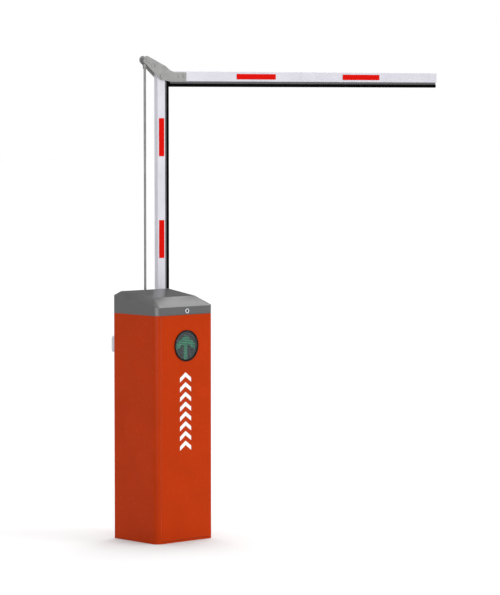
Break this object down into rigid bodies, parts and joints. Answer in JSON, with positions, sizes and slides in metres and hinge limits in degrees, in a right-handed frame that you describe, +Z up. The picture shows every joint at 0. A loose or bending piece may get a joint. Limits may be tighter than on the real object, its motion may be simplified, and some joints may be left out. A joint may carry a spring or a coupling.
{
  "type": "folding-arm parking barrier gate",
  "caption": "Barrier gate cabinet with faceted lid and hinged door, crank-driven boom and a second arm section kept level by a parallelogram link rod.",
  "frame": {"origin": "centre of the underside of the base plate, on the ground", "axes": "+Z up, +X to the right seen from the door, the way the boom falls, +Y from the door to the boom side"},
  "size_m": [1.893, 0.3235, 1.973],
  "materials": {
    "orange_paint": "satin orange powder coat",
    "grey_paint": "satin grey powder coat",
    "cast_grey": "cast and blasted",
    "boom_white": "white powder coat on extruded aluminium",
    "rail_grey": "satin",
    "black_rubber": "matte",
    "red_reflective": "reflective film",
    "zinc_steel": "zinc plated",
    "dark_steel": "black oxide",
    "chrome": "polished",
    "black_plastic": "moulded",
    "light_plastic": "moulded",
    "led_board": "printed board with a dotted arrow",
    "smoked_lens": "smoked clear",
    "motor_blue_grey": "painted casting"
  },
  "bodies": {
    "cabinet": {"housing_shell": "orange_paint", "base_plate": "zinc_steel", "frame_plate_rear": "dark_steel", "frame_plate_front": "dark_steel", "frame_spacer_1": "zinc_steel", "frame_spacer_2": "zinc_steel", "bearing_rear": "cast_grey", "bearing_front": "cast_grey", "shaft_seal_ring": "black_plastic", "gearbox_housing": "cast_grey", "drive_motor": "motor_blue_grey", "balance_spring": "zinc_steel", "buffer_open": "black_rubber", "buffer_closed": "black_rubber", "controller_unit": "light_plastic", "front_top_rail": "orange_paint", "receiver_module": "light_plastic", "rod_anchor_bracket": "cast_grey", "rod_anchor_nut": "zinc_steel", "hinge_leaf_lower": "dark_steel", "hinge_leaf_upper": "dark_steel"},
    "boom": {"main_shaft": "zinc_steel", "drive_lever": "cast_grey", "spring_hub": "cast_grey", "boom_clamp": "cast_grey", "clamp_cover_plate": "cast_grey", "clamp_bolt_1": "zinc_steel", "clamp_bolt_2": "zinc_steel", "boom_tube": "boom_white", "boom_rubber": "black_rubber", "boom_foot_cap": "black_plastic", "boom_reflector_lower": "red_reflective", "boom_reflector_upper": "red_reflective", "elbow_pin": "zinc_steel"},
    "arm": {"elbow_plate_front": "cast_grey", "elbow_plate_rear": "cast_grey", "elbow_spacer": "zinc_steel", "lever_pin": "zinc_steel", "arm_bolt_1": "zinc_steel", "arm_bolt_2": "zinc_steel", "arm_tube": "boom_white", "arm_rubber": "black_rubber", "arm_end_cap": "light_plastic", "arm_reflector_inner": "red_reflective", "arm_reflector_outer": "red_reflective"},
    "link_rod": {"link_rod": "rail_grey", "rod_end_lower": "dark_steel", "rod_end_upper": "dark_steel"},
    "crank": {"crank_arm": "dark_steel"},
    "connecting_rod": {"connecting_rod": "zinc_steel"},
    "front_door": {"door_panel": "orange_paint", "signal_housing": "black_plastic", "signal_board": "led_board", "signal_lens": "smoked_lens", "hinge_knuckle_lower": "dark_steel", "hinge_knuckle_upper": "dark_steel"},
    "lid": {"lid_shell": "grey_paint", "lock_barrel": "chrome"},
    "lid_lock": {"lock_plug": "chrome", "lock_cam": "zinc_steel"}
  },
  "joints": [
    {"name": "boom_swing", "type": "hinge", "parent": "cabinet", "child": "boom", "pos_m": [0.12, 0.161, 0.82], "axis": [0, 1, 0], "range_deg": [0, 90]},
    {"name": "elbow_fold", "type": "hinge", "parent": "boom", "child": "arm", "pos_m": [0.12, 0.161, 1.89], "axis": [0, 1, 0], "range_deg": [-90, 0]},
    {"name": "link_rod_swing", "type": "hinge", "parent": "cabinet", "child": "link_rod", "pos_m": [0.04, 0.161, 0.886], "axis": [0, 1, 0], "range_deg": [0, 90]},
    {"name": "crank_turn", "type": "hinge", "parent": "cabinet", "child": "crank", "pos_m": [0.092, -0.05, 0.54], "axis": [0, 1, 0], "range_deg": [0, 90]},
    {"name": "connecting_rod_pivot", "type": "hinge", "parent": "crank", "child": "connecting_rod", "pos_m": [0.0425, -0.064, 0.4905], "axis": [0, 1, 0], "range_deg": [-90, 0]},
    {"name": "door_hinge", "type": "hinge", "parent": "cabinet", "child": "front_door", "pos_m": [0.1575, -0.1065, 0.45], "axis": [0, 0, 1], "range_deg": [0, 110]},
    {"name": "lid_lift", "type": "slide", "parent": "cabinet", "child": "lid", "axis": [0, 0, 1], "range_m": [0, 0.15]},
    {"name": "lid_lock_turn", "type": "hinge", "parent": "lid", "child": "lid_lock", "pos_m": [0.01, -0.1355, 0.94], "axis": [0, -1, 0], "range_deg": [0, 90]}
  ],
  "couplings": [
    {"joint": "elbow_fold", "follows": "boom_swing", "ratio": -1},
    {"joint": "link_rod_swing", "follows": "boom_swing", "ratio": 1},
    {"joint": "crank_turn", "follows": "boom_swing", "ratio": 1},
    {"joint": "connecting_rod_pivot", "follows": "boom_swing", "ratio": -1}
  ]
}
